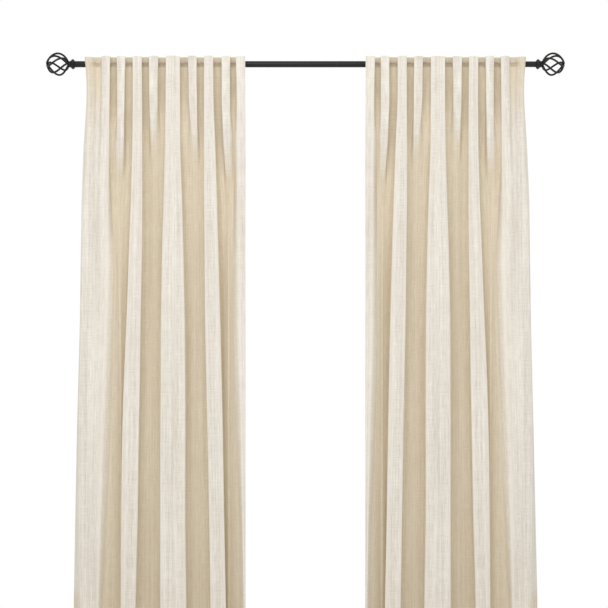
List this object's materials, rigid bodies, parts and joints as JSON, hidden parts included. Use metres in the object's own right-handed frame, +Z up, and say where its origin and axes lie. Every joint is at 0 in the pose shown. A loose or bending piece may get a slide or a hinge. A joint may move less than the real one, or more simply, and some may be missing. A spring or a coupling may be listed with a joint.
{
  "type": "pair of window curtains on a rod",
  "caption": "Pair of gathered linen-look curtain panels hung by back tabs on a telescoping black rod with twisted birdcage finials and wall brackets.",
  "frame": {"origin": "middle of the left wall plate, on its back face, where it lies on the wall", "axes": "+X along the rod to the right, +Y into the wall, +Z up"},
  "size_m": [1.8384, 0.15, 2.1514],
  "materials": {
    "linen": "cream linen-look cloth with fine slubs",
    "tab_cloth": "cream cotton tape cloth",
    "black_satin": "black satin powder coat",
    "zinc_plated_steel": "zinc-plated screws and inserts",
    "nylon": "moulded white nylon"
  },
  "bodies": {
    "left_wall_bracket": {"left_wall_plate": "black_satin", "left_arm_socket": "black_satin"},
    "outer_rod": {"left_bracket_arm": "black_satin", "left_rod_cradle": "black_satin", "outer_tube": "black_satin", "left_end_plug": "zinc_plated_steel", "left_tab_1": "tab_cloth", "left_panel": "linen"},
    "inner_rod": {"inner_tube": "black_satin", "inner_tube_glide": "nylon", "right_end_plug": "zinc_plated_steel", "right_bracket_arm": "black_satin", "right_rod_cradle": "black_satin", "right_tab_1": "tab_cloth", "right_panel": "linen"},
    "right_wall_bracket": {"right_wall_plate": "black_satin", "right_arm_socket": "black_satin"},
    "left_finial": {"left_finial_base": "black_satin", "left_cage_wire_1": "black_satin", "left_cage_wire_2": "black_satin", "left_cage_wire_3": "black_satin", "left_cage_wire_4": "black_satin", "left_cage_wire_5": "black_satin", "left_cage_wire_6": "black_satin", "left_cage_button": "black_satin"},
    "left_rod_screw": {"left_rod_screw": "zinc_plated_steel"},
    "left_arm_screw": {"left_arm_screw": "zinc_plated_steel"},
    "left_leading_tab": {"left_tab_9": "tab_cloth"},
    "left_tab_2": {"left_tab_2": "tab_cloth"},
    "left_tab_3": {"left_tab_3": "tab_cloth"},
    "left_tab_4": {"left_tab_4": "tab_cloth"},
    "left_tab_5": {"left_tab_5": "tab_cloth"},
    "left_tab_6": {"left_tab_6": "tab_cloth"},
    "left_tab_7": {"left_tab_7": "tab_cloth"},
    "left_tab_8": {"left_tab_8": "tab_cloth"},
    "right_finial": {"right_finial_base": "black_satin", "right_cage_wire_1": "black_satin", "right_cage_wire_2": "black_satin", "right_cage_wire_3": "black_satin", "right_cage_wire_4": "black_satin", "right_cage_wire_5": "black_satin", "right_cage_wire_6": "black_satin", "right_cage_button": "black_satin"},
    "right_rod_screw": {"right_rod_screw": "zinc_plated_steel"},
    "right_arm_screw": {"right_arm_screw": "zinc_plated_steel"},
    "right_leading_tab": {"right_tab_9": "tab_cloth"},
    "right_tab_2": {"right_tab_2": "tab_cloth"},
    "right_tab_3": {"right_tab_3": "tab_cloth"},
    "right_tab_4": {"right_tab_4": "tab_cloth"},
    "right_tab_5": {"right_tab_5": "tab_cloth"},
    "right_tab_6": {"right_tab_6": "tab_cloth"},
    "right_tab_7": {"right_tab_7": "tab_cloth"},
    "right_tab_8": {"right_tab_8": "tab_cloth"}
  },
  "joints": [
    {"name": "rod_projection", "type": "slide", "parent": "left_wall_bracket", "child": "outer_rod", "axis": [0, -1, 0], "range_m": [-0.01, 0.03]},
    {"name": "rod_extension", "type": "slide", "parent": "outer_rod", "child": "inner_rod", "axis": [1, 0, 0], "range_m": [-0.38, 0.45]},
    {"name": "right_arm_in_socket", "type": "slide", "parent": "inner_rod", "child": "right_wall_bracket", "axis": [0, -1, 0], "range_m": [-0.03, 0.01]},
    {"name": "left_finial_turn", "type": "hinge", "parent": "outer_rod", "child": "left_finial", "pos_m": [-0.115, -0.095, 0.0183], "axis": [-1, 0, 0], "continuous": true},
    {"name": "left_rod_screw_turn", "type": "hinge", "parent": "outer_rod", "child": "left_rod_screw", "pos_m": [0, -0.095, 0.0183], "axis": [0, 1, 0], "continuous": true},
    {"name": "left_arm_screw_turn", "type": "hinge", "parent": "left_wall_bracket", "child": "left_arm_screw", "pos_m": [0, -0.0513, 0], "axis": [0, 0, -1], "continuous": true},
    {"name": "left_curtain_draw", "type": "slide", "parent": "outer_rod", "child": "left_leading_tab", "axis": [1, 0, 0], "range_m": [-0.21, 0.2]},
    {"name": "left_tab_2_slide", "type": "slide", "parent": "outer_rod", "child": "left_tab_2", "axis": [1, 0, 0], "range_m": [-0.00858, 0.00818]},
    {"name": "left_tab_3_slide", "type": "slide", "parent": "outer_rod", "child": "left_tab_3", "axis": [1, 0, 0], "range_m": [-0.02944, 0.02804]},
    {"name": "left_tab_4_slide", "type": "slide", "parent": "outer_rod", "child": "left_tab_4", "axis": [1, 0, 0], "range_m": [-0.06081, 0.05792]},
    {"name": "left_tab_5_slide", "type": "slide", "parent": "outer_rod", "child": "left_tab_5", "axis": [1, 0, 0], "range_m": [-0.09806, 0.0934]},
    {"name": "left_tab_6_slide", "type": "slide", "parent": "outer_rod", "child": "left_tab_6", "axis": [1, 0, 0], "range_m": [-0.14748, 0.14046]},
    {"name": "left_tab_7_slide", "type": "slide", "parent": "outer_rod", "child": "left_tab_7", "axis": [1, 0, 0], "range_m": [-0.17927, 0.17074]},
    {"name": "left_tab_8_slide", "type": "slide", "parent": "outer_rod", "child": "left_tab_8", "axis": [1, 0, 0], "range_m": [-0.20271, 0.19306]},
    {"name": "right_finial_turn", "type": "hinge", "parent": "inner_rod", "child": "right_finial", "pos_m": [1.519, -0.095, 0.0183], "axis": [1, 0, 0], "continuous": true},
    {"name": "right_rod_screw_turn", "type": "hinge", "parent": "inner_rod", "child": "right_rod_screw", "pos_m": [1.404, -0.095, 0.0183], "axis": [0, 1, 0], "continuous": true},
    {"name": "right_arm_screw_turn", "type": "hinge", "parent": "right_wall_bracket", "child": "right_arm_screw", "pos_m": [1.404, -0.0513, 0], "axis": [0, 0, -1], "continuous": true},
    {"name": "right_curtain_draw", "type": "slide", "parent": "inner_rod", "child": "right_leading_tab", "axis": [-1, 0, 0], "range_m": [-0.21, 0.2]},
    {"name": "right_tab_2_slide", "type": "slide", "parent": "inner_rod", "child": "right_tab_2", "axis": [-1, 0, 0], "range_m": [-0.00858, 0.00818]},
    {"name": "right_tab_3_slide", "type": "slide", "parent": "inner_rod", "child": "right_tab_3", "axis": [-1, 0, 0], "range_m": [-0.02944, 0.02804]},
    {"name": "right_tab_4_slide", "type": "slide", "parent": "inner_rod", "child": "right_tab_4", "axis": [-1, 0, 0], "range_m": [-0.06081, 0.05792]},
    {"name": "right_tab_5_slide", "type": "slide", "parent": "inner_rod", "child": "right_tab_5", "axis": [-1, 0, 0], "range_m": [-0.09806, 0.0934]},
    {"name": "right_tab_6_slide", "type": "slide", "parent": "inner_rod", "child": "right_tab_6", "axis": [-1, 0, 0], "range_m": [-0.14748, 0.14046]},
    {"name": "right_tab_7_slide", "type": "slide", "parent": "inner_rod", "child": "right_tab_7", "axis": [-1, 0, 0], "range_m": [-0.17927, 0.17074]},
    {"name": "right_tab_8_slide", "type": "slide", "parent": "inner_rod", "child": "right_tab_8", "axis": [-1, 0, 0], "range_m": [-0.20271, 0.19306]}
  ],
  "couplings": [
    {"joint": "right_arm_in_socket", "follows": "rod_projection", "ratio": -1},
    {"joint": "left_tab_2_slide", "follows": "left_curtain_draw", "ratio": 0.0404},
    {"joint": "left_tab_3_slide", "follows": "left_curtain_draw", "ratio": 0.1397},
    {"joint": "left_tab_4_slide", "follows": "left_curtain_draw", "ratio": 0.2891},
    {"joint": "left_tab_5_slide", "follows": "left_curtain_draw", "ratio": 0.4665},
    {"joint": "left_tab_6_slide", "follows": "left_curtain_draw", "ratio": 0.7018},
    {"joint": "left_tab_7_slide", "follows": "left_curtain_draw", "ratio": 0.8532},
    {"joint": "left_tab_8_slide", "follows": "left_curtain_draw", "ratio": 0.9648},
    {"joint": "right_tab_2_slide", "follows": "right_curtain_draw", "ratio": 0.0404},
    {"joint": "right_tab_3_slide", "follows": "right_curtain_draw", "ratio": 0.1397},
    {"joint": "right_tab_4_slide", "follows": "right_curtain_draw", "ratio": 0.2891},
    {"joint": "right_tab_5_slide", "follows": "right_curtain_draw", "ratio": 0.4665},
    {"joint": "right_tab_6_slide", "follows": "right_curtain_draw", "ratio": 0.7018},
    {"joint": "right_tab_7_slide", "follows": "right_curtain_draw", "ratio": 0.8532},
    {"joint": "right_tab_8_slide", "follows": "right_curtain_draw", "ratio": 0.9648}
  ]
}
